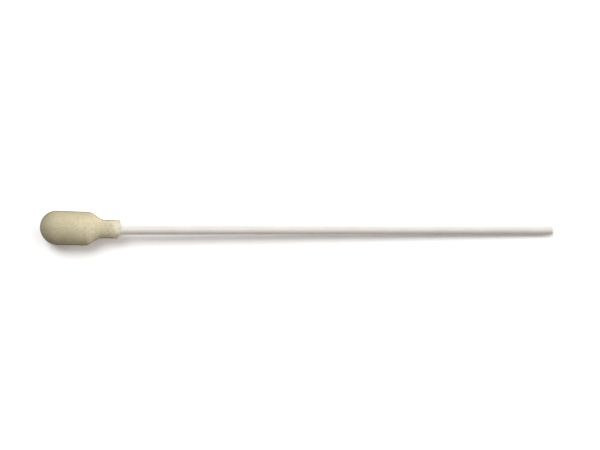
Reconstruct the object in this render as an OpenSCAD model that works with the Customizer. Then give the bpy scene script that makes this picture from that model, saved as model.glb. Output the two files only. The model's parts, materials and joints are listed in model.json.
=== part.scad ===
// Foam-tipped swab, lying on a flat surface: a moulded plastic stick in a foam head.
// The head is two layers of foam, heat-sealed round the stick into one bulb with a narrow neck.
// +X runs from the head to the far end, +Y is across the sealed edges, +Z is up,
// and the origin is on the surface, under the middle of the swab.

/* [Swab] */
// Length from the nose of the head to the far end of the stick
overall_length = 150; // [120:1:180]

/* [Foam head] */
// Width of the bulb across its sealed edges
head_width = 10; // [9:0.1:12]
// Thickness of the bulb through both layers
head_thickness = 8.6; // [7.6:0.1:10]
// Length of the bulb, from its nose to where the shoulder begins
bulb_length = 13.8; // [11:0.1:18]
// Width of the bulb where the shoulder begins
shoulder_width = 9.8; // [8.6:0.1:11]
// Length of the S-shaped shoulder between bulb and neck
shoulder_length = 4.6; // [3:0.1:7]
// Width of the neck across its sealed edges
neck_width = 5.4; // [5:0.1:7]
// Length of the straight neck
neck_length = 2.8; // [1.5:0.1:5]
// Width of the mouth, where the foam ends on the stick
mouth_width = 5.9; // [5.4:0.1:7.5]
// Length over which the neck flares into the mouth
flare_length = 2.3; // [1.2:0.1:4]
// Sideways offset of the nose from the stick's axis
nose_lean = 0.8; // [0:0.1:1.2]
// Sideways offset of the mouth from the stick's axis
mouth_lean = 0.2; // [0:0.05:0.5]

/* [Sealed edge] */
// How far the sealed edge stands out of the foam
seam_proud = 0.15; // [0.08:0.01:0.3]
// Thickness of the sealed edge
seam_thickness = 0.4; // [0.2:0.05:0.8]

/* [Cut mouth] */
// Number of nicks round the ragged edge of the mouth
nick_count = 9; // [5:1:13]
// Width of a nick at the mouth's edge
nick_width = 1.1; // [0.4:0.05:1.4]
// Depth of the deepest nick
nick_depth = 0.55; // [0.2:0.05:0.9]

/* [Stick] */
// Diameter of the stick where it enters the foam
stick_diameter = 2.65; // [2.3:0.05:3]
// Diameter of the straight grip at the far end
grip_diameter = 2.35; // [2:0.05:2.6]
// Length of the straight grip
grip_length = 30; // [20:1:60]
// Radius of the rounded rim at the far end
rim_radius = 0.2; // [0.1:0.05:0.6]
// Foam between the nose and the stick's buried tip
nose_cover = 7; // [4:0.5:10]
// Room all round the buried stick, where the foam is fused to it
bond_gap = 0.03; // [0.02:0.01:0.08]

/* [Rest] */
// How deep the surface presses the underside of the foam flat
squash = 0.1; // [0.04:0.01:0.2]

/* [Hidden] */
$fn = 96;
cream = [0.80, 0.75, 0.60];
milk_white = [0.95, 0.94, 0.92];
shoulder_steps = 12;       // straight stretches along the shoulder's curve
flare_steps = 5;           // straight stretches along the flare's curve
past = 1;                  // how far a cutter reaches past what it cuts
nick_evenness = 0.65;      // depth of the middling nick, as a share of the deepest
golden_angle = 137.508;    // spreads the nicks' depths without a repeat

// Stations along the swab, measured from the nose
neck_start = bulb_length + shoulder_length;
flare_start = neck_start + neck_length;
head_length = flare_start + flare_length;
tip_centre = nose_cover + stick_diameter / 2;
rim_centre = overall_length - rim_radius;

// How much thinner the head is than wide, and how it leans over its length
flatten = head_thickness / (head_width - 2 * seam_proud);
lean_slope = (mouth_lean - nose_lean) / head_length;

// The swab lies on the end of its bulb, where the shoulder begins, and on the far end's rim
bearing_height = (shoulder_width / 2 - seam_proud) * flatten - squash;
rim_along = rim_centre - bulb_length;
rim_across = grip_diameter / 2 - rim_radius;
tilt = asin((bearing_height - rim_radius) / norm([rim_along, rim_across])) - atan2(rim_across, rim_along);

function mix(a, b, t) = a + (b - a) * t;
function s_curve(t) = t * t * (3 - 2 * t);
function lean(station) = nose_lean + lean_slope * station;

// Half outline of the head past its round nose, as [half width, station] pairs.
// An inset draws the foam inside its sealed edge.
function shoulder(inset) = [for (i = [0 : shoulder_steps]) let (t = i / shoulder_steps)
    [mix(shoulder_width, neck_width, s_curve(t)) / 2 - inset, bulb_length + shoulder_length * t]];
function flare(inset) = [for (i = [0 : flare_steps]) let (t = i / flare_steps)
    [mix(neck_width, mouth_width, t * t) / 2 - inset, flare_start + flare_length * t]];
function head_outline(inset) =
    concat([[head_width / 2 - inset, head_width / 2]], shoulder(inset), flare(inset));

// Extents of the finished swab, which put the origin under its middle
left_edge = max([for (p = head_outline(0)) lean(p[1]) + p[0]]);
right_edge = min([for (p = head_outline(0)) lean(p[1]) - p[0]]);
far_end = rim_along * cos(tilt) + rim_across * sin(tilt) + rim_radius;
nose_end = -bulb_length * cos(tilt) - seam_thickness / 2 * sin(tilt);

// Lays a swab that was built upright along +Z down on the surface, its head at -X
module lay_down() {
    translate([-(far_end + nose_end) / 2, -(left_edge + right_edge) / 2, bearing_height])
        rotate([0, tilt, 0])
            translate([-bulb_length, 0, 0])
                rotate([90, 0, 90])
                    children();
}

// Half section of the head, drawn upright with its nose down
module head_section(inset) {
    outline = head_outline(inset);
    translate([0, head_width / 2])
        circle(r = head_width / 2 - inset);
    polygon(concat([[0, head_width / 2]], outline, [[0, head_length]]));
}

// Solid of the stick from its buried tip to its far end, grown on every side
module stick_body(grow) {
    rotate_extrude()
        intersection() {
            union() {
                translate([0, tip_centre])
                    circle(r = stick_diameter / 2 + grow);
                translate([grip_diameter / 2 - rim_radius, rim_centre])
                    circle(r = rim_radius + grow);
                polygon([
                    [0, tip_centre],
                    [stick_diameter / 2 + grow, tip_centre],
                    [stick_diameter / 2 + grow, head_length],
                    [grip_diameter / 2 + grow, overall_length - grip_length],
                    [grip_diameter / 2 + grow, rim_centre],
                    [grip_diameter / 2 - rim_radius, overall_length + grow],
                    [0, overall_length + grow]]);
            }
            square([stick_diameter, overall_length + past]);
        }
}

// One nick in the mouth's edge, from near the stick outwards at the given angle
module nick(angle, depth) {
    rotate([0, 0, angle])
        translate([stick_diameter / 2 + bond_gap, 0, head_length])
            rotate([90, 0, 90])
                linear_extrude(height = mouth_width)
                    polygon([[-nick_width / 2, 0], [0, -depth], [nick_width / 2, 0]]);
}

// The round foam bulb with its shoulder, neck and flared mouth, whose cut edge is nicked
module foam_body() {
    difference() {
        rotate_extrude()
            intersection() {
                head_section(seam_proud);
                square([head_width, head_length]);
            }
        for (i = [0 : nick_count - 1])
            nick(360 * i / nick_count, nick_depth * mix(sin(golden_angle * i), 1, nick_evenness));
    }
}

// The fused edge where the two layers meet, running all the way round the head
module sealed_edge() {
    rotate([90, 0, 0])
        linear_extrude(height = seam_thickness / flatten, center = true)
            intersection() {
                union() {
                    head_section(0);
                    mirror([1, 0])
                        head_section(0);
                }
                translate([-head_width, 0])
                    square([2 * head_width, head_length - nick_depth]);
            }
}

// Squeezes the round head to its thickness, and leans it sideways towards the nose
module squeeze_and_lean() {
    multmatrix([
        [1, 0, lean_slope, nose_lean],
        [0, flatten, 0, 0],
        [0, 0, 1, 0],
        [0, 0, 0, 1]])
        children();
}

// All that lies below the surface, where the soft foam can't reach
module below_surface() {
    translate([-overall_length, -overall_length, -overall_length])
        cube([2 * overall_length, 2 * overall_length, overall_length]);
}

module foam_head() {
    color(cream)
        difference() {
            lay_down()
                difference() {
                    squeeze_and_lean()
                        union() {
                            foam_body();
                            sealed_edge();
                        }
                    stick_body(bond_gap);
                }
            below_surface();
        }
}

module stick() {
    color(milk_white)
        lay_down()
            stick_body(0);
}

foam_head();
stick();
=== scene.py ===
# Dresses a foam-tipped swab: a moulded plastic stick with a foam head welded round one end.
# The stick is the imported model's own; the foam head is modelled here as an open-celled surface
# with its heat-sealed seam and its torn mouth. Lengths are in metres, +X runs from the head to
# the stick's far end, +Y is across the sealed edges, and the swab lies on the plane Z = 0.

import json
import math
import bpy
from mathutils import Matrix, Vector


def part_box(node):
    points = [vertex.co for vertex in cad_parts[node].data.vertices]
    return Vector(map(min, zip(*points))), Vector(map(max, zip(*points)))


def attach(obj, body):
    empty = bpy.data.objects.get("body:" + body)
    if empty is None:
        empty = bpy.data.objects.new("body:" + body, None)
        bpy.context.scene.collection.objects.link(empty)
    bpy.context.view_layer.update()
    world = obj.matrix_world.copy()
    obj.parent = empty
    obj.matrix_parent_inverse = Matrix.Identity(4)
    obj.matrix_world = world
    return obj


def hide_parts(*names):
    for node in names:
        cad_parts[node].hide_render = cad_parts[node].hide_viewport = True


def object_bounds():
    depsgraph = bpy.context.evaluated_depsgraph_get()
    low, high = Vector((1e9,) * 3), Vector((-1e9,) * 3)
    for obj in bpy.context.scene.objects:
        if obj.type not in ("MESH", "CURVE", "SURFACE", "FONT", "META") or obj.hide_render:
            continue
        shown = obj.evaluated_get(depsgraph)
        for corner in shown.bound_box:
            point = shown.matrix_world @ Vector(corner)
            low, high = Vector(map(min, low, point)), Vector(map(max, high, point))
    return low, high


bl_info = {
    "name": "Foam-tipped swab",
    "version": (1, 0, 0),
    "blender": (4, 5, 0),
    "location": "View3D > Sidebar > Swab",
    "description": "Dresses a foam-tipped swab with its open-celled foam, milky plastic and a pale studio",
    "category": "Object",
}

import bpy
import numpy as np
from bpy.props import FloatProperty, FloatVectorProperty, IntProperty, PointerProperty
from mathutils import Vector

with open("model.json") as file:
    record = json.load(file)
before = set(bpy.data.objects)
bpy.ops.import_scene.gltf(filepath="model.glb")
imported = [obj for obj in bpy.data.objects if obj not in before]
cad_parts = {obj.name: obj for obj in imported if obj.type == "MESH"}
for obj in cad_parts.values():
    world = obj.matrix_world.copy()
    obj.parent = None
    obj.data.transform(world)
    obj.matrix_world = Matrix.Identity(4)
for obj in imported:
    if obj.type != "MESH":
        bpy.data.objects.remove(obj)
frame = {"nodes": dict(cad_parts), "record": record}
cad_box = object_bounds()

MM = 0.001


# ---------------------------------------------------------------- places taken from the frame

def stick_line():
    """A point on the stick's axis, and the axis's direction towards the far end."""
    grip = next(mount for mount in frame["record"]["mounts"] if mount["name"] == "grip_end")
    direction = np.array(grip["axis"], float)
    return np.array(grip["pos_m"], float), direction / np.linalg.norm(direction)


def along_and_out(node):
    """Each vertex of a CAD node as its place along the stick's line and its distance from it."""
    points = np.array([vertex.co for vertex in frame["nodes"][node].data.vertices], float)
    arm = points - LINE_POINT
    along = arm @ LINE_WAY
    return along, np.linalg.norm(arm - along[:, None] * LINE_WAY, axis=1)


# The stick's line, and the direction that is square to it and points up
LINE_POINT, LINE_WAY = stick_line()
LINE_UP = np.array([-LINE_WAY[2], 0.0, LINE_WAY[0]])

# The foam's nose and length, both measured along the stick's line
HEAD_LOW, HEAD_HIGH = (np.array(corner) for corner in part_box("foam_head"))
NOSE_POINT = LINE_POINT + LINE_WAY * (HEAD_LOW[0] - LINE_POINT[0]) / LINE_WAY[0]
HEAD_LENGTH = (HEAD_HIGH[0] - HEAD_LOW[0]) / LINE_WAY[0]

# The stick's buried tip, measured from the nose, and its largest radius
STICK_ALONG, STICK_OUT = along_and_out("stick")
STICK_TIP = float(STICK_ALONG.min() - (NOSE_POINT - LINE_POINT) @ LINE_WAY)
STICK_RADIUS = float(STICK_OUT.max())


# ---------------------------------------------------------------- sizes and colours a user would change

class SwabHeadSizes(bpy.types.PropertyGroup):
    """Sizes of the foam head."""

    width: FloatProperty(name="Width", description="Width of the bulb across its sealed edges",
                         default=10.0 * MM, unit="LENGTH")
    thickness: FloatProperty(name="Thickness", description="Thickness of the bulb through both layers",
                             default=8.6 * MM, unit="LENGTH")
    bulb_length: FloatProperty(name="Bulb length", description="From the nose to where the shoulder begins",
                               default=13.8 * MM, unit="LENGTH")
    shoulder_width: FloatProperty(name="Shoulder width", description="Width where the shoulder begins",
                                  default=9.8 * MM, unit="LENGTH")
    shoulder_length: FloatProperty(name="Shoulder length", description="Length of the S-shaped shoulder",
                                   default=4.6 * MM, unit="LENGTH")
    neck_width: FloatProperty(name="Neck width", description="Width of the neck across its sealed edges",
                              default=5.4 * MM, unit="LENGTH")
    neck_length: FloatProperty(name="Neck length", description="Length of the straight neck",
                               default=2.8 * MM, unit="LENGTH")
    mouth_width: FloatProperty(name="Mouth width", description="Width of the flared mouth",
                               default=5.9 * MM, unit="LENGTH")
    nose_lean: FloatProperty(name="Nose lean", description="Sideways offset of the nose from the stick",
                             default=0.87 * MM, unit="LENGTH")
    mouth_lean: FloatProperty(name="Mouth lean", description="Sideways offset of the mouth from the stick",
                              default=0.27 * MM, unit="LENGTH")
    nose_taper: FloatProperty(name="Nose taper", description="Share of its height that the padding loses at "
                              "the nose", default=0.25, min=0.0, max=0.6, subtype="FACTOR")
    taper_length: FloatProperty(name="Taper length", description="Length over which the taper runs out",
                                default=10.5 * MM, unit="LENGTH")
    slope_start: FloatProperty(name="Slope start", description="From the nose to where the thickness "
                               "falls off", default=10.2 * MM, unit="LENGTH")
    slope_length: FloatProperty(name="Slope length", description="Length over which the thickness falls off",
                                default=6.8 * MM, unit="LENGTH")
    slope: FloatProperty(name="Slope", description="Share of the way to the neck's thickness that the "
                         "padding falls ahead of its outline",
                         default=0.5, min=0.0, max=1.0, subtype="FACTOR")
    pillow: FloatProperty(name="Pillow", description="Roundness of the cross section, where 2 is an ellipse",
                          default=1.85, min=1.2, max=3.0, subtype="FACTOR")
    neck_pillow: FloatProperty(name="Neck pillow", description="Roundness of the neck's cross section",
                               default=2.2, min=1.2, max=4.0, subtype="FACTOR")
    shoulder_skew: FloatProperty(name="Shoulder skew", description="How much nearer the nose the shoulder "
                                 "of the -Y side begins", default=0.65 * MM, unit="LENGTH")
    shoulder_late: FloatProperty(name="Late shoulder", description="How much farther from the nose the "
                                 "shoulder of the +Y side begins", default=0.25 * MM, unit="LENGTH")
    press_length: FloatProperty(name="Pressed length", description="Length at the mouth over which the foam "
                                "is pressed down on the stick", default=3.0 * MM, unit="LENGTH")
    press_wall: FloatProperty(name="Pressed wall", description="Thickness of the foam over the stick at the "
                              "mouth", default=0.35 * MM, unit="LENGTH")
    lip: FloatProperty(name="Lip", description="How far the mouth's end face bulges",
                       default=0.2 * MM, unit="LENGTH")
    bond_gap: FloatProperty(name="Bond gap", description="Room between the foam and the stick inside it",
                            default=0.03 * MM, unit="LENGTH")


class SwabFoamTexture(bpy.types.PropertyGroup):
    """Sizes of the foam's cells, seam and torn edge, and of the mesh that shows them."""

    pore_size: FloatProperty(name="Pore size", description="Spacing of the foam's open cells",
                             default=0.36 * MM, unit="LENGTH")
    pore_depth: FloatProperty(name="Pore depth", description="Depth of the deepest open cells",
                              default=0.04 * MM, unit="LENGTH")
    cell_size: FloatProperty(name="Cell size", description="Spacing of the fine cells painted on the foam",
                             default=0.21 * MM, unit="LENGTH")
    cell_depth: FloatProperty(name="Cell depth", description="Depth of the painted cells in the light",
                              default=0.05 * MM, unit="LENGTH")
    lump_size: FloatProperty(name="Lump size", description="Spacing of the foam's soft unevenness",
                             default=2.6 * MM, unit="LENGTH")
    lump_height: FloatProperty(name="Lump height", description="Height of the foam's soft unevenness",
                               default=0.05 * MM, unit="LENGTH")
    seam_proud: FloatProperty(name="Seam height", description="How far the heat-sealed edge stands out",
                              default=0.32 * MM, unit="LENGTH")
    seam_thickness: FloatProperty(name="Seam thickness", description="Thickness of the heat-sealed edge",
                                  default=0.4 * MM, unit="LENGTH")
    nose_seam: FloatProperty(name="Nose seam", description="How far the sealed edge stands out at the nose",
                             default=0.42 * MM, unit="LENGTH")
    mouth_seam: FloatProperty(name="Mouth seam", description="How far the sealed edge stands out at the "
                              "mouth", default=0.95 * MM, unit="LENGTH")
    mouth_thickness: FloatProperty(name="Mouth seam thickness", description="Thickness of the edge at the "
                                   "mouth", default=0.9 * MM, unit="LENGTH")
    bead_place: FloatProperty(name="Bead place", description="From the nose to the melted bead on the seam",
                              default=12.5 * MM, unit="LENGTH")
    bead_length: FloatProperty(name="Bead length", description="Length of the melted bead",
                               default=1.1 * MM, unit="LENGTH")
    bead_height: FloatProperty(name="Bead height", description="How far the bead stands out of the seam",
                               default=0.08 * MM, unit="LENGTH")
    tear_depth: FloatProperty(name="Tear depth", description="Unevenness of the mouth's torn edge",
                              default=0.3 * MM, unit="LENGTH")
    tear_reach: FloatProperty(name="Tear reach", description="How far back from the mouth the tear shows",
                              default=1.4 * MM, unit="LENGTH")
    pale_reach: FloatProperty(name="Pale reach", description="How far back from the mouth the foam is paler",
                              default=2.8 * MM, unit="LENGTH")
    shred_size: FloatProperty(name="Shred size", description="Spacing of the shreds on the torn end",
                              default=0.45 * MM, unit="LENGTH")
    shred_height: FloatProperty(name="Shred height", description="Length of the shreds on the torn end",
                                default=0.22 * MM, unit="LENGTH")
    fray_height: FloatProperty(name="Fray height", description="Roughness of the foam beside the torn end",
                               default=0.10 * MM, unit="LENGTH")
    seed: IntProperty(name="Seed", description="Chooses the pattern of cells and tears", default=7,
                      min=0, subtype="UNSIGNED")
    ring_step: FloatProperty(name="Ring step", description="Distance from one ring of the mesh to the next",
                             default=0.11 * MM, min=0.05 * MM, unit="LENGTH")
    spokes: IntProperty(name="Spokes", description="Number of points in each ring of the mesh", default=320,
                        min=24, subtype="UNSIGNED")


class SwabFinish(bpy.types.PropertyGroup):
    """Colours of the foam and the plastic."""

    foam: FloatVectorProperty(name="Foam", description="Colour of the foam's struts", subtype="COLOR",
                              size=3, min=0.0, max=1.0, default=(0.470, 0.4245, 0.294))
    # The pores' colour is painted shade deep in the foam's open cells and painted pits
    pores: FloatVectorProperty(name="Pores", description="Colour deep in the open cells", subtype="COLOR",
                               size=3, min=0.0, max=1.0, default=(0.31, 0.262, 0.162))
    # Pressed foam's colour is painted shade, laid beside the sealed edges and most at the nose
    pressed: FloatVectorProperty(name="Pressed foam", description="Colour of the foam squeezed beside the "
                                 "seam", subtype="COLOR", size=3, min=0.0, max=1.0,
                                 default=(0.334, 0.290, 0.187))
    seam: FloatVectorProperty(name="Seam", description="Colour of the melted edge", subtype="COLOR",
                              size=3, min=0.0, max=1.0, default=(0.33, 0.295, 0.20))
    # The rim's dark line is partly the melted edge's colour and partly painted shade along the outline
    rim: FloatVectorProperty(name="Rim", description="Colour of the melted edge's outermost line",
                             subtype="COLOR", size=3, min=0.0, max=1.0, default=(0.165, 0.145, 0.108))
    torn: FloatVectorProperty(name="Torn foam", description="Colour of the fresh torn edge", subtype="COLOR",
                              size=3, min=0.0, max=1.0, default=(0.52, 0.50, 0.405))
    plastic: FloatVectorProperty(name="Plastic", description="Colour of the milky stick", subtype="COLOR",
                                 size=3, min=0.0, max=1.0, default=(0.522, 0.502, 0.468))
    cloudy: FloatVectorProperty(name="Cloudy plastic", description="Colour of the stick's duller patches",
                                subtype="COLOR", size=3, min=0.0, max=1.0, default=(0.502, 0.481, 0.445))


class SwabStudio(bpy.types.PropertyGroup):
    """The floor, the lights and the camera."""

    floor: FloatVectorProperty(name="Floor", description="Colour of the floor", subtype="COLOR",
                               size=3, min=0.0, max=1.0, default=(0.97, 0.97, 0.97))
    floor_size: FloatProperty(name="Floor size", description="Length of the floor's sides",
                              default=2.0, unit="LENGTH")
    sky: FloatProperty(name="Sky", description="Strength of the soft light where it is brightest",
                       default=0.34, min=0.0)
    sky_way: FloatVectorProperty(name="Sky direction", description="Towards the brightest part of the soft "
                                 "light", subtype="DIRECTION", default=(0.97, 0.24, 0.0))
    sky_colour: FloatVectorProperty(name="Sky colour", description="Colour of the soft light", size=3,
                                    subtype="COLOR", min=0.0, max=1.0, default=(1.0, 0.80, 0.68))
    backdrop: FloatVectorProperty(name="Backdrop", description="Colour seen past the floor's edge", size=3,
                                  subtype="COLOR", min=0.0, max=1.0, default=(1.0, 1.0, 1.0))
    light_colour: FloatVectorProperty(name="Light colour", description="Colour of the three lights", size=3,
                                      subtype="COLOR", min=0.0, max=1.0, default=(0.95, 0.96, 0.97))
    light_size: FloatProperty(name="Light size", description="Side of each square light",
                              default=3.0, unit="LENGTH")
    light_distance: FloatProperty(name="Light distance", description="From the swab to each light",
                                  default=5.0, unit="LENGTH")
    key_power: FloatProperty(name="Key power", description="Power of the high light behind the head",
                             default=250.0, unit="POWER")
    key_way: FloatVectorProperty(name="Key direction", description="From the swab to the high light",
                                 subtype="DIRECTION", default=(-0.31, 0.53, 0.79))
    fill_power: FloatProperty(name="Fill power", description="Power of the light behind the stick",
                              default=109.0, unit="POWER")
    fill_way: FloatVectorProperty(name="Fill direction", description="From the swab to the light behind "
                                  "the stick", subtype="DIRECTION", default=(0.41, 0.71, 0.57))
    side_power: FloatProperty(name="Side power", description="Power of the low light beyond the stick's end",
                              default=279.0, unit="POWER")
    side_way: FloatVectorProperty(name="Side direction", description="From the swab to the low light",
                                  subtype="DIRECTION", default=(0.95, 0.0, 0.31))
    lens: FloatProperty(name="Lens", description="Focal length of the camera, in millimetres",
                        default=100.0, unit="CAMERA")
    camera_height: FloatProperty(name="Camera height", description="Height of the camera over the floor",
                                 default=490.4 * MM, unit="LENGTH")
    aim_x: FloatProperty(name="Aim X", description="Aim of the camera past the swab's middle, along it",
                         default=0.82 * MM, unit="LENGTH")
    aim_y: FloatProperty(name="Aim Y", description="Aim of the camera beside the stick",
                         default=1.55 * MM, unit="LENGTH")


# ---------------------------------------------------------------- noise on points in space

# Numbers that scramble the bits of a 32-bit word
LARGEST_WORD = np.uint64(0xFFFFFFFF)
AXIS_PRIMES = (73856093, 19349663, 83492791)
SEED_PRIME = 2654435761
SHIFTS_AND_FACTORS = ((15, 2246822519), (13, 3266489917))
LAST_SHIFT = 16

# Radius of the smallest open cell, and how much larger the largest is, in lattice cells
SMALLEST_CELL = 0.42
CELL_SPREAD = 0.3


def smooth(share):
    """Smoothstep of a share that is held between 0 and 1: 3 times its square less 2 times its cube."""
    share = np.clip(share, 0.0, 1.0)
    return share * share * (3.0 - 2.0 * share)


def chance(cells, seed):
    """A number from 0 to 1 for each lattice cell: its three indices and the seed are each multiplied by a
    large prime, joined by exclusive or, and scrambled by shifts and factors."""
    mixed = np.full(len(cells), seed * SEED_PRIME, np.uint64)
    for axis, prime in enumerate(AXIS_PRIMES):
        mixed ^= cells[:, axis].astype(np.int64).astype(np.uint64) * np.uint64(prime)
    mixed &= LARGEST_WORD
    for shift, factor in SHIFTS_AND_FACTORS:
        mixed = ((mixed ^ (mixed >> np.uint64(shift))) * np.uint64(factor)) & LARGEST_WORD
    mixed ^= mixed >> np.uint64(LAST_SHIFT)
    return mixed.astype(float) / float(LARGEST_WORD)


def soft_noise(points, size, seed):
    """Smooth noise from -1 to 1: the eight corners of each lattice cell have a chance value each, and
    a point takes their mean, weighted by the smoothstep of its place in the cell."""
    place = points / size
    base = np.floor(place)
    share = smooth(place - base)
    total = np.zeros(len(points))
    for corner in np.ndindex(2, 2, 2):
        weight = np.prod(np.where(corner, share, 1.0 - share), axis=1)
        total += weight * chance(base + corner, seed)
    return 2.0 * total - 1.0


def open_cells(points, size, seed):
    """Depth from 0 to 1 of the open foam cells: each lattice cell holds one centre at a random place and
    one random radius, which take four seeds from the given one on. A point's depth is the largest, among
    the cells round it, of 1 minus the square of its distance from the centre over the radius."""
    place = points / size
    base = np.floor(place)
    depth = np.zeros(len(points))
    for step in np.ndindex(3, 3, 3):
        cell = base + step - 1.0
        centre = cell + np.stack([chance(cell, seed + axis) for axis in range(3)], axis=1)
        radius = SMALLEST_CELL + CELL_SPREAD * chance(cell, seed + 3)
        reach = np.sum((place - centre) ** 2, axis=1) / radius**2
        depth = np.maximum(depth, 1.0 - reach)
    return depth


# ---------------------------------------------------------------- the foam head's shape

# Points along each curve of the head's outline, down the socket's wall and round the socket's bottom
OUTLINE_POINTS = 60
WALL_POINTS = 40
DOME_POINTS = 9

# How far the spokes are drawn towards the two sealed edges, in radians
SPOKE_DRAW = 0.2

# The seam's bell falls with this power of a point's height. Its melted look is the bell itself, raised
# towards the mouth to a power that is larger by this much, which narrows it.
SEAM_STEEPNESS = 4
MOUTH_NARROWING = 4.0

# Painted shade: the foam beside the seam is fully darkened up to the first share of the crown's height,
# and the painted shade runs out over the second. The sides have the third share of the shade that the
# nose has.
EDGE_SHADE_UP_TO = 0.25
EDGE_SHADE_RUN_OUT = 0.7
EDGE_SHADE_SIDES = 0.8

# The torn edge, in shares of the tear's depth: where it stands as a whole, and what its waves are
# multiplied by. They have from 3 to 29 crests round the mouth, and a random height in this range.
TORN_BACK = -0.7
WAVE_SHARE = 0.3
WAVE_CRESTS = np.arange(3, 30)
WAVE_HEIGHTS = (0.3, 1.0)

# Bells on the torn edge: the angle of each one's middle, its spread, and how far it stands out or, below
# nothing, back. They are two tufts, the bite beside them, and the -Y sealed edge, which is held back.
TORN_BELLS = ((0.95, 0.13, 1.6), (1.25, 0.11, 1.5), (2.05, 0.6, -1.6), (3.15, 0.35, -1.3))

# The fine lumps' height as a share of the lumps', and how many times finer they and the fraying are
FINE_LUMP_HEIGHT = 0.5
FINE_LUMP_FINENESS = 2.3
FRAY_FINENESS = 1.3

# Share of a pore's depth that the melted seam fills
SEAM_FILLS = 0.85

# Added to the seed, so that each pattern has its own
SHRED_SEED = 10
LUMP_SEED = 20
FINE_LUMP_SEED = 30
PORE_SEED = 40
FRAY_SEED = 50

# The least length that a normal is divided by, where a ring has shrunk to a point
SHORTEST_NORMAL = 1e-12


def even_steps(points, step):
    """The same line with its points an even step apart, measured along it."""
    run = np.concatenate([[0.0], np.cumsum(np.linalg.norm(np.diff(points, axis=0), axis=1))])
    marks = np.linspace(0.0, run[-1], max(2, int(round(run[-1] / step)) + 1))
    return np.stack([np.interp(marks, run, points[:, axis]) for axis in range(2)], axis=1)


def head_profile(sizes):
    """Half outline of the foam as (half width, place from the nose) pairs: a quarter circle for the
    nose, a straight bulb, a smoothstep shoulder, a straight neck and a flare that grows as a square."""
    radius = sizes.width / 2
    neck_start = sizes.bulb_length + sizes.shoulder_length
    flare_start = neck_start + sizes.neck_length
    turn = np.linspace(0.0, math.pi / 2, OUTLINE_POINTS)
    nose = np.stack([radius * np.sin(turn), radius - radius * np.cos(turn)], axis=1)
    share = np.linspace(0.0, 1.0, OUTLINE_POINTS)
    shoulder = np.stack([
        (sizes.shoulder_width + (sizes.neck_width - sizes.shoulder_width) * smooth(share)) / 2,
        sizes.bulb_length + sizes.shoulder_length * share], axis=1)
    flare = np.stack([
        (sizes.neck_width + (sizes.mouth_width - sizes.neck_width) * share * share) / 2,
        flare_start + (HEAD_LENGTH - flare_start) * share], axis=1)
    return np.concatenate([nose, shoulder, flare])


def socket_profile(sizes):
    """Half outline of the socket round the buried stick: straight down its wall, then a quarter circle
    to its bottom."""
    radius = STICK_RADIUS + sizes.bond_gap
    bottom = STICK_TIP + STICK_RADIUS
    wall = np.stack([np.full(WALL_POINTS, radius), np.linspace(HEAD_LENGTH, bottom, WALL_POINTS)], axis=1)
    turn = np.linspace(0.0, math.pi / 2, DOME_POINTS)[1:-1]
    dome = np.stack([radius * np.cos(turn), bottom - radius * np.sin(turn)], axis=1)
    return np.concatenate([wall, dome])


def near_mouth(place, reach):
    """A share that rises as a smoothstep, from 0 at the reach's length from the mouth to 1 at the mouth."""
    return smooth((place - HEAD_LENGTH + reach) / reach)


def mouth_tear(angle, seed):
    """How far the torn edge stands out or back round the mouth, as a share of the tear's depth: a constant,
    a sum of waves whose heights are divided by the root of their number of crests, and the bells. Angle 0
    is the sealed edge on the +Y side, and a quarter turn is the top."""
    draw = np.random.default_rng(seed)
    height = draw.uniform(*WAVE_HEIGHTS, len(WAVE_CRESTS)) / np.sqrt(WAVE_CRESTS)
    shift = draw.uniform(0.0, 2 * math.pi, len(WAVE_CRESTS))
    waves = np.sum(height * np.cos(WAVE_CRESTS * angle[:, None] + shift), axis=1)
    torn = TORN_BACK + WAVE_SHARE * waves
    for middle, spread, reach in TORN_BELLS:
        torn += reach * np.exp(-((angle - middle) / spread) ** 2)
    return torn


def lay_in_frame(points):
    """Points given across, above and along the stick's line, as points in the frame."""
    return NOSE_POINT + points @ np.array([[0.0, 1.0, 0.0], LINE_UP, LINE_WAY])


def grid_normals(grid):
    """Unit normals of a closed ring-by-ring grid: the cross product of its steps along and round."""
    along = np.gradient(grid, axis=0)
    around = (np.roll(grid, -1, axis=1) - np.roll(grid, 1, axis=1)) / 2
    normal = np.cross(around, along)
    length = np.linalg.norm(normal, axis=2, keepdims=True)
    return normal / np.maximum(length, SHORTEST_NORMAL)


def padding_sizes(sizes, texture, half, place):
    """The padding's half width, half height and place from the nose for each ring of the outline.

    The half width is the outline's less the seam's height, which grows from its own value to the nose's
    and to the mouth's. The half height starts as the outline's half width too. It loses the seam's height
    there but for the mouth's, and a share of what the neck is narrower by, which grows as a smoothstep
    over the slope. What is left is multiplied by thickness over width, and loses the taper near the nose.
    At the mouth it is the stick's radius and a thin wall. The rings near the nose move back, to leave room
    for the sealed edge."""
    at_nose = 1.0 - smooth(place / sizes.taper_length)
    at_mouth = near_mouth(place, sizes.press_length)
    edge = (texture.seam_proud + (texture.nose_seam - texture.seam_proud) * at_nose
            + (texture.mouth_seam - texture.seam_proud) * at_mouth)
    fall = sizes.slope * smooth((place - sizes.slope_start) / sizes.slope_length)
    flatness = sizes.thickness / (sizes.width - 2 * texture.seam_proud)
    inside_nose = half - (texture.nose_seam - texture.seam_proud) * at_nose
    tall = (inside_nose - (half - sizes.neck_width / 2) * fall - texture.seam_proud) * flatness
    tall = np.maximum(tall, 0.0) * (1.0 - sizes.nose_taper * at_nose)
    tall = tall + (STICK_RADIUS + sizes.press_wall - tall) * at_mouth
    back = texture.nose_seam * (1.0 - smooth(place / (sizes.width / 2)))
    return np.maximum(half - edge, 0.0), tall, place + back


def signed_power(values, power):
    """Each value's size raised to a power, with its sign kept."""
    return np.sign(values) * np.abs(values) ** power


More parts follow.
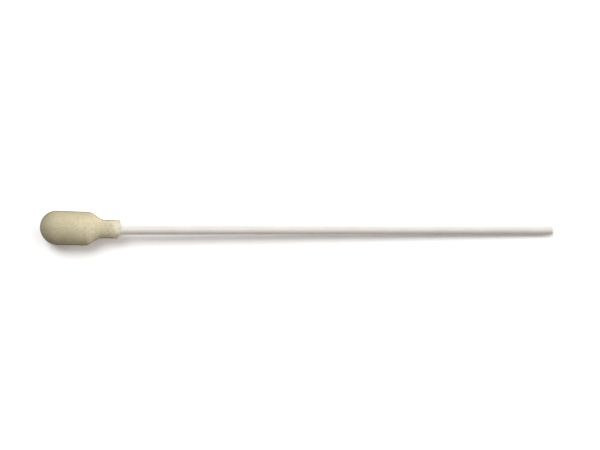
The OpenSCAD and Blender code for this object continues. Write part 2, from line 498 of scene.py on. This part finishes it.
def outer_rings(sizes, texture, angle):
    """The outside of the foam as rings of points across, above and along the stick, with two shares for
    each point: how melted it is and how pressed, where the pressed share is painted shade.

    Each ring of the padding is a superellipse, whose exponent grows from the bulb's to the neck's over the
    shoulder. At the plane of the seam its points move out to the head's outline, by a share that is a
    steep bell of their height. The seam of the -Y side has a bead, a bell of its place. The shoulder lies
    nearer the nose on the -Y side and farther from it on the +Y side, by another bell of its place. The
    ring's middle leans sideways in a straight line from nose to mouth.

    The melted share is the seam's bell, which narrows towards the mouth and ends at the tear. The pressed
    share is painted shade, darker towards the sealed edges: it falls as a smoothstep of a point's height
    over the crown's, which is the largest height from its ring to the mouth. It is full at the nose, less
    along the sides, and runs out over the shoulder."""
    half, place = even_steps(head_profile(sizes), texture.ring_step)[1:].T[:, :, None]
    wide, tall, padding_place = padding_sizes(sizes, texture, half, place)
    at_nose = 1.0 - smooth(place / sizes.taper_length)
    at_neck = smooth((place - sizes.bulb_length) / sizes.shoulder_length)
    at_mouth = near_mouth(place, sizes.press_length)

    power = 2.0 / (sizes.pillow + (sizes.neck_pillow - sizes.pillow) * at_neck)
    across = signed_power(np.cos(angle), power)
    up = tall * signed_power(np.sin(angle), power)

    thickness = texture.seam_thickness + (texture.mouth_thickness - texture.seam_thickness) * at_mouth
    seam = np.exp(-((up / (thickness / 2)) ** SEAM_STEEPNESS))
    bead = np.exp(-(((place - texture.bead_place) / (texture.bead_length / 2)) ** 2)) * (across < 0.0)
    side = (wide * (1.0 - seam) + (half + texture.bead_height * bead) * seam) * across
    lean = sizes.nose_lean + (sizes.mouth_lean - sizes.nose_lean) * place / HEAD_LENGTH

    shoulder = sizes.bulb_length + sizes.shoulder_length / 2
    near_shoulder = np.exp(-(((place - shoulder) / sizes.shoulder_length) ** 2))
    skew = near_shoulder * np.where(across < 0.0, sizes.shoulder_skew, sizes.shoulder_late) * across
    along = padding_place * (1.0 - seam) + place * seam + skew

    crown = np.maximum.accumulate(tall[::-1])[::-1]
    # The pressed share is painted shade, darkest beside the sealed edges and at the nose
    pressed = 1.0 - smooth((np.abs(up) / crown - EDGE_SHADE_UP_TO) / EDGE_SHADE_RUN_OUT)
    pressed = pressed * (EDGE_SHADE_SIDES + (1.0 - EDGE_SHADE_SIDES) * at_nose) * (1.0 - at_neck)
    melted = seam ** (1.0 + MOUTH_NARROWING * at_mouth) * (1.0 - near_mouth(place, texture.tear_reach))
    return np.stack([side + lean, up, along], axis=2), melted, pressed


def socket_rings(sizes, angle):
    """The wall of the socket, as circles round the stick from the mouth to the bottom."""
    radius, place = socket_profile(sizes).T[:, :, None]
    return np.stack(np.broadcast_arrays(radius * np.cos(angle), radius * np.sin(angle), place), axis=2)


def mouth_rings(sizes, rim, socket_edge, count):
    """The mouth's end face: a straight blend from its rim to the socket's edge, bulged as half a sine.
    Also gives each ring's share of that way."""
    share = np.linspace(0.0, 1.0, count + 2)[1:-1, None, None]
    rings = rim * (1.0 - share) + socket_edge * share
    rings[..., 2] += sizes.lip * np.sin(math.pi * share[..., 0])
    return rings, share[:, 0, 0]


def noise_on(grid, size, seed):
    """Soft noise for each point of a grid of rings."""
    return soft_noise(grid.reshape(-1, 3), size, seed).reshape(grid.shape[:2])


def foam_head_surface(sizes, texture):
    """The foam head as rings of points, with four shares for each point: how deep it lies in a pore, how
    near the seam, how pressed, which is painted shade beside the seam, and how near the torn edge.

    The outside's rings, the mouth's and the socket's follow each other. The torn end moves its points
    along the stick, by the tear and by shreds. Then the foam's outside moves along its normal, by soft
    lumps, by its pores and by the fraying beside the tear. That fades over the mouth's end face, and the
    socket's wall only slides along itself. What would sink through the plane Z = 0 is laid flat on it."""
    turn = np.linspace(0.0, 2 * math.pi, texture.spokes, endpoint=False)
    angle = turn - SPOKE_DRAW * np.sin(2 * turn)
    outside, seam, pressed = outer_rings(sizes, texture, angle)
    socket = socket_rings(sizes, angle)
    end_wall = sizes.mouth_width / 2 - STICK_RADIUS
    mouth, share = mouth_rings(sizes, outside[-1], socket[0], int(end_wall / texture.ring_step))
    rings = np.concatenate([outside, mouth, socket])
    foamy = np.concatenate([np.ones(len(outside)), 1.0 - share, np.zeros(len(socket))])[:, None]
    unsealed = np.zeros((len(mouth) + len(socket), texture.spokes))
    seam = np.concatenate([seam, unsealed])
    # The pressed share carries painted shade; the mouth's end face and the socket take none
    pressed = np.concatenate([pressed, unsealed])

    at_tear = near_mouth(rings[..., 2], texture.tear_reach)
    torn = near_mouth(rings[..., 2], texture.pale_reach) * np.ceil(foamy)
    shreds = noise_on(rings, texture.shred_size, texture.seed + SHRED_SEED)
    rings[..., 2] += at_tear * (texture.tear_depth * mouth_tear(angle, texture.seed)
                                + texture.shred_height * shreds * at_tear)
    grid = lay_in_frame(rings)

    lumps = noise_on(grid, texture.lump_size, texture.seed + LUMP_SEED)
    lumps += FINE_LUMP_HEIGHT * noise_on(
        grid, texture.lump_size / FINE_LUMP_FINENESS, texture.seed + FINE_LUMP_SEED)
    fray = noise_on(grid, texture.shred_size / FRAY_FINENESS, texture.seed + FRAY_SEED)
    pores = open_cells(grid.reshape(-1, 3), texture.pore_size, texture.seed + PORE_SEED).reshape(seam.shape)
    pores = pores * (1.0 - SEAM_FILLS * seam) * foamy
    push = (texture.lump_height * lumps * (1.0 - seam) * foamy
            + texture.fray_height * fray * at_tear * foamy - texture.pore_depth * pores)
    grid = grid + push[..., None] * grid_normals(grid)
    grid[..., 2] = np.maximum(grid[..., 2], 0.0)
    return grid, {"pore": pores, "seam": seam, "pressed": pressed, "torn": torn}


# ---------------------------------------------------------------- meshes

def closed_mesh(name, grid, shares):
    """A closed mesh from a grid of rings: four-sided faces between rings, and a fan of triangles to one
    added point at the middle of the first ring and of the last. shares are numbers kept for each point,
    by name."""
    rings, spokes, _ = grid.shape
    points = np.concatenate([grid.reshape(-1, 3), [grid[0].mean(axis=0)], [grid[-1].mean(axis=0)]])
    nose = rings * spokes
    bottom = nose + 1
    here = np.arange(spokes)
    beside = (here + 1) % spokes
    start = spokes * np.arange(rings - 1)[:, None]
    quads = np.stack([start + here, start + beside,
                      start + spokes + beside, start + spokes + here], axis=-1).reshape(-1, 4)
    nose_fan = np.stack([np.full(spokes, nose), beside, here], axis=1)
    last = (rings - 1) * spokes
    bottom_fan = np.stack([np.full(spokes, bottom), last + here, last + beside], axis=1)
    mesh = bpy.data.meshes.new(name)
    mesh.from_pydata(points.tolist(), [], quads.tolist() + nose_fan.tolist() + bottom_fan.tolist())
    for share, values in shares.items():
        values = np.concatenate([values.reshape(-1), [values[0].mean(), values[-1].mean()]])
        attribute = mesh.attributes.new(share, "FLOAT", "POINT")
        attribute.data.foreach_set("value", values.astype(np.float32))
    mesh.polygons.foreach_set("use_smooth", np.ones(len(mesh.polygons), bool))
    mesh.update()
    piece = bpy.data.objects.new(name, mesh)
    bpy.context.scene.collection.objects.link(piece)
    return piece


# ---------------------------------------------------------------- shader maths and materials

class Value:
    """A shader socket that Python can add, subtract and multiply, also where a plain number stands first:
    each sign adds a Math node."""

    def __init__(self, nodes, socket):
        self.nodes = nodes
        self.socket = socket

    def math(self, operation, first, second):
        """A Math node on two values, whose sockets it counts 0 and 1."""
        return self.nodes.add("ShaderNodeMath", {"operation": operation}, {0: first, 1: second})

    def __add__(self, other):
        return self.math("ADD", self, other)

    def __sub__(self, other):
        return self.math("SUBTRACT", self, other)

    def __rsub__(self, other):
        return self.math("SUBTRACT", other, self)

    def __mul__(self, other):
        return self.math("MULTIPLY", self, other)

    __radd__ = __add__
    __rmul__ = __mul__


class Nodes:
    """A tree of shader nodes, which starts empty. Sockets are called by their names, or by their numbers
    where a node has several of one name."""

    def __init__(self, owner):
        owner.use_nodes = True
        self.tree = owner.node_tree
        self.tree.nodes.clear()

    def add(self, kind, settings=None, inputs=None, output=0):
        """Adds a node, sets its settings, then its sockets to values or links. Returns one output, which
        is the first if no other is asked for."""
        node = self.tree.nodes.new(kind)
        for name, value in (settings or {}).items():
            setattr(node, name, value)
        for name, value in (inputs or {}).items():
            if isinstance(value, Value):
                self.tree.links.new(value.socket, node.inputs[name])
            else:
                node.inputs[name].default_value = value
        return None if output is None else Value(self, node.outputs[output])

    def mix(self, share, first, second):
        """A colour between two others. A Mix node's colours are its inputs 6 and 7 and its output 2."""
        return self.add("ShaderNodeMix", {"data_type": "RGBA"}, {0: share, 6: first, 7: second}, output=2)

    def share(self, name):
        """A number that the mesh keeps for each point."""
        return self.add("ShaderNodeAttribute", {"attribute_name": name}, output="Fac")

    def grow(self, value, low, high):
        """A value that rises from 0 at low to 1 at high, as a smoothstep."""
        return self.add("ShaderNodeMapRange", {"interpolation_type": "SMOOTHSTEP"},
                        {"Value": value, "From Min": low, "From Max": high})


class Finish(Nodes):
    """One material and the nodes that make it."""

    def __init__(self, name):
        self.material = bpy.data.materials.new(name)
        super().__init__(self.material)

    def surface(self, inputs):
        """Adds the one shader that the material shows, and returns the material."""
        shader = self.add("ShaderNodeBsdfPrincipled", None, inputs)
        self.add("ShaderNodeOutputMaterial", None, {"Surface": shader}, output=None)
        return self.material


def with_alpha(colour):
    """A colour with the alpha that a node's socket wants."""
    return (*colour, 1.0)


# The middle of a noise node's range
NOISE_MIDDLE = 0.5

# A painted cell's pit deepens over the first range of the distance from its wall, in cells, times what it
# gains over the second range of the cell's own random number
PIT_WALL = (0.02, 0.22)
PIT_CHANCE = (0.1, 0.9)

# How much of the pores' colour the painted pits, the pores and the soft clouds each bring. In the pits
# and the pores that colour is painted shade in the foam's hollows; in the clouds it is tone that varies
# at random.
PIT_SHADE_SHARE = 0.6
PORE_SHADE_SHARE = 0.3
CLOUD_SHARE = 0.5
FOAM_CLOUD_SIZE = 1.6 * MM

# The strength of the melted colour, the range of the seam's share over which the rim's colour takes its
# place, and the strength of the torn foam's colour. The rim's dark line is partly the melted edge's own
# colour and partly painted shade along the outline.
SEAM_TINT = 0.35
RIM_SHADE_RANGE = (0.2, 0.7)
TORN_TINT = 0.9

# The plastic's cloudy patches, and the fine lines along it: noise whose places are squeezed along X, which
# draws it out that way
PLASTIC_CLOUD_SIZE = 5.0 * MM
PLASTIC_CLOUD_RANGE = (0.3, 0.7)
LINE_SIZE = 0.3 * MM
LINE_SQUEEZE = (0.02, 1.0, 1.0)
LINE_DEPTH = 0.01 * MM

# The plastic's roughness, and what its patches and lines add
PLASTIC_ROUGHNESS = 0.28
CLOUD_ROUGHNESS = 0.08
LINE_ROUGHNESS = 0.12


def foam_finish(colours, texture):
    """Open-celled foam: cream struts round pits of uneven depth, darkened with painted shade, painted
    shade beside the seam that is strongest at the nose, a melted seam whose dark rim is partly painted
    shade along the outline, and a pale torn edge."""
    finish = Finish("cream_foam")
    place = finish.add("ShaderNodeTexCoord", output="Object")
    fine = {"Vector": place, "Scale": 1.0 / texture.cell_size}
    from_wall = finish.add("ShaderNodeTexVoronoi", {"feature": "DISTANCE_TO_EDGE"}, fine, output="Distance")
    cell_colour = finish.add("ShaderNodeTexVoronoi", None, fine, output="Color")
    cell_chance = finish.add("ShaderNodeSeparateColor", None, {"Color": cell_colour}, output="Red")
    cloud = finish.add("ShaderNodeTexNoise", None,
                       {"Vector": place, "Scale": 1.0 / FOAM_CLOUD_SIZE, "Detail": 3.0, "Roughness": 0.6})
    seam = finish.share("seam")
    pit = finish.grow(from_wall, *PIT_WALL) * finish.grow(cell_chance, *PIT_CHANCE) * (1.0 - seam)
    # Painted shade in the pits and pores, with the foam's tone clouded at random
    cell_shade_and_clouding = finish.add("ShaderNodeMath", {"operation": "ADD", "use_clamp": True},
                        {0: pit * PIT_SHADE_SHARE + finish.share("pore") * PORE_SHADE_SHARE,
                         1: (NOISE_MIDDLE - cloud) * CLOUD_SHARE})
    colour = finish.mix(cell_shade_and_clouding, with_alpha(colours.foam), with_alpha(colours.pores))
    # Painted shade beside the sealed edges and at the nose
    colour = finish.mix(finish.share("pressed"), colour, with_alpha(colours.pressed))
    colour = finish.mix(seam * SEAM_TINT, colour, with_alpha(colours.seam))
    # Rim: the melted edge's colour, darkened further as painted shade along the outline
    colour = finish.mix(finish.grow(seam, *RIM_SHADE_RANGE), colour, with_alpha(colours.rim))
    colour = finish.mix(finish.share("torn") * TORN_TINT, colour, with_alpha(colours.torn))
    bump = finish.add("ShaderNodeBump", None,
                      {"Strength": 0.8, "Distance": texture.cell_depth, "Height": 1.0 - pit})
    return finish.surface({"Base Color": colour, "Roughness": 0.95, "Normal": bump,
                           "Specular IOR Level": 0.15})


def plastic_finish(colours):
    """Milky moulded plastic: faintly cloudy, with fine lines drawn along the stick."""
    finish = Finish("milky_plastic")
    place = finish.add("ShaderNodeTexCoord", output="Object")
    cloud = finish.add("ShaderNodeTexNoise", None,
                       {"Vector": place, "Scale": 1.0 / PLASTIC_CLOUD_SIZE, "Detail": 3.0})
    squeezed = finish.add("ShaderNodeMapping", None, {"Vector": place, "Scale": LINE_SQUEEZE})
    lines = finish.add("ShaderNodeTexNoise", None,
                       {"Vector": squeezed, "Scale": 1.0 / LINE_SIZE, "Detail": 2.0})
    roughness = cloud * CLOUD_ROUGHNESS + lines * LINE_ROUGHNESS + PLASTIC_ROUGHNESS
    colour = finish.mix(finish.grow(cloud, *PLASTIC_CLOUD_RANGE),
                        with_alpha(colours.plastic), with_alpha(colours.cloudy))
    bump = finish.add("ShaderNodeBump", None, {"Strength": 0.5, "Distance": LINE_DEPTH, "Height": lines})
    return finish.surface({"Base Color": colour, "Roughness": roughness, "Normal": bump, "IOR": 1.49,
                           "Specular IOR Level": 0.3})


def floor_finish(studio):
    """A plain pale surface."""
    finish = Finish("pale_floor")
    return finish.surface({"Base Color": with_alpha(studio.floor), "Roughness": 0.9,
                           "Specular IOR Level": 0.1})


# ---------------------------------------------------------------- studio lights and camera

# The camera sees nothing nearer than this
NEAREST_SEEN = 10.0 * MM


def softbox(name, way, power, studio):
    """A square light that stands in the given direction and faces the origin. The camera doesn't see it."""
    data = bpy.data.lights.new(name, "AREA")
    data.energy = power
    data.color = studio.light_colour
    data.shape = "SQUARE"
    data.size = studio.light_size
    light = bpy.data.objects.new(name, data)
    direction = Vector(way).normalized()
    light.location = direction * studio.light_distance
    light.rotation_euler = direction.to_track_quat("Z", "Y").to_euler()
    light.visible_camera = False
    bpy.context.scene.collection.objects.link(light)


def sky(studio):
    """Soft light from all round that rises as a smoothstep from nothing, on the side away from its
    direction, to its full strength. The camera sees a plain backdrop in its place."""
    world = bpy.data.worlds.new("soft_sky")
    nodes = Nodes(world)
    way = nodes.add("ShaderNodeTexCoord", output="Generated")
    towards = nodes.add("ShaderNodeVectorMath", {"operation": "DOT_PRODUCT"}, {0: way, 1: studio.sky_way},
                        output="Value")
    strength = nodes.grow(towards, -1.0, 1.0) * studio.sky
    light = nodes.add("ShaderNodeBackground", None,
                      {"Color": with_alpha(studio.sky_colour), "Strength": strength})
    backdrop = nodes.add("ShaderNodeBackground", None, {"Color": with_alpha(studio.backdrop)})
    seen = nodes.add("ShaderNodeLightPath", output="Is Camera Ray")
    either = nodes.add("ShaderNodeMixShader", None, {0: seen, 1: light, 2: backdrop})
    nodes.add("ShaderNodeOutputWorld", None, {"Surface": either}, output=None)
    return world


def floor_mesh(side):
    """A square floor round the origin, in the plane Z = 0."""
    half = side / 2
    mesh = bpy.data.meshes.new("floor")
    mesh.from_pydata([(-half, -half, 0), (half, -half, 0), (half, half, 0), (-half, half, 0)],
                     [], [(0, 1, 2, 3)])
    return mesh


def camera_above(studio):
    """A camera that looks straight down, beside the middle of the swab."""
    data = bpy.data.cameras.new("camera")
    data.lens = studio.lens
    data.clip_start = NEAREST_SEEN
    camera = bpy.data.objects.new("camera", data)
    low, high = cad_box
    camera.location = ((low.x + high.x) / 2 + studio.aim_x, LINE_POINT[1] + studio.aim_y,
                       studio.camera_height)
    bpy.context.scene.collection.objects.link(camera)
    return camera


# ---------------------------------------------------------------- operators

class SWAB_OT_foam_head(bpy.types.Operator):
    """Makes the foam head that stands for the model's plain one"""

    bl_idname = "swab.foam_head"
    bl_label = "Foam head"

    def execute(self, context):
        scene = context.scene
        grid, shares = foam_head_surface(scene.swab_head, scene.swab_texture)
        head = closed_mesh("foam_head_skin", grid, shares)
        head.data.materials.append(foam_finish(scene.swab_finish, scene.swab_texture))
        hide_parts("foam_head")
        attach(head, "root")
        return {"FINISHED"}


class SWAB_OT_stick(bpy.types.Operator):
    """Gives the model's stick its milky plastic"""

    bl_idname = "swab.stick"
    bl_label = "Stick"

    def execute(self, context):
        stick = frame["nodes"]["stick"]
        stick.data.materials.clear()
        stick.data.materials.append(plastic_finish(context.scene.swab_finish))
        return {"FINISHED"}


class SWAB_OT_stage(bpy.types.Operator):
    """Makes the floor, the lights and the camera"""

    bl_idname = "swab.stage"
    bl_label = "Stage"

    def execute(self, context):
        scene = context.scene
        studio = scene.swab_studio
        floor = bpy.data.objects.new("floor", floor_mesh(studio.floor_size))
        floor.data.materials.append(floor_finish(studio))
        scene.collection.objects.link(floor)

        softbox("key_light", studio.key_way, studio.key_power, studio)
        softbox("fill_light", studio.fill_way, studio.fill_power, studio)
        softbox("side_light", studio.side_way, studio.side_power, studio)
        scene.world = sky(studio)
        scene.view_settings.view_transform = "Standard"
        scene.camera = camera_above(studio)
        return {"FINISHED"}


class SWAB_PT_panel(bpy.types.Panel):
    """Lists the swab's sizes, colours and steps"""

    bl_label = "Swab"
    bl_idname = "SWAB_PT_panel"
    bl_space_type = "VIEW_3D"
    bl_region_type = "UI"
    bl_category = "Swab"

    def draw(self, context):
        for title, group, operator in STEPS:
            box = self.layout.box()
            box.label(text=title)
            settings = getattr(context.scene, group)
            for name in settings.__annotations__:
                box.prop(settings, name)
            if operator:
                box.operator(operator)


STEPS = (
    ("Foam head", "swab_head", None),
    ("Foam texture", "swab_texture", "swab.foam_head"),
    ("Finish", "swab_finish", "swab.stick"),
    ("Studio", "swab_studio", "swab.stage"),
)
GROUPS = {"swab_head": SwabHeadSizes, "swab_texture": SwabFoamTexture,
          "swab_finish": SwabFinish, "swab_studio": SwabStudio}
CLASSES = (*GROUPS.values(), SWAB_OT_foam_head, SWAB_OT_stick, SWAB_OT_stage, SWAB_PT_panel)


def register():
    """Adds the classes, and gives the scene its sizes and colours."""
    for kind in CLASSES:
        bpy.utils.register_class(kind)
    for name, group in GROUPS.items():
        setattr(bpy.types.Scene, name, PointerProperty(type=group))


def unregister():
    """Takes away what register added."""
    for name in GROUPS:
        delattr(bpy.types.Scene, name)
    for kind in reversed(CLASSES):
        bpy.utils.unregister_class(kind)


def main():
    """Makes the swab and its stage."""
    register()
    bpy.ops.swab.foam_head()
    bpy.ops.swab.stick()
    bpy.ops.swab.stage()


if __name__ == "__main__":
    main()
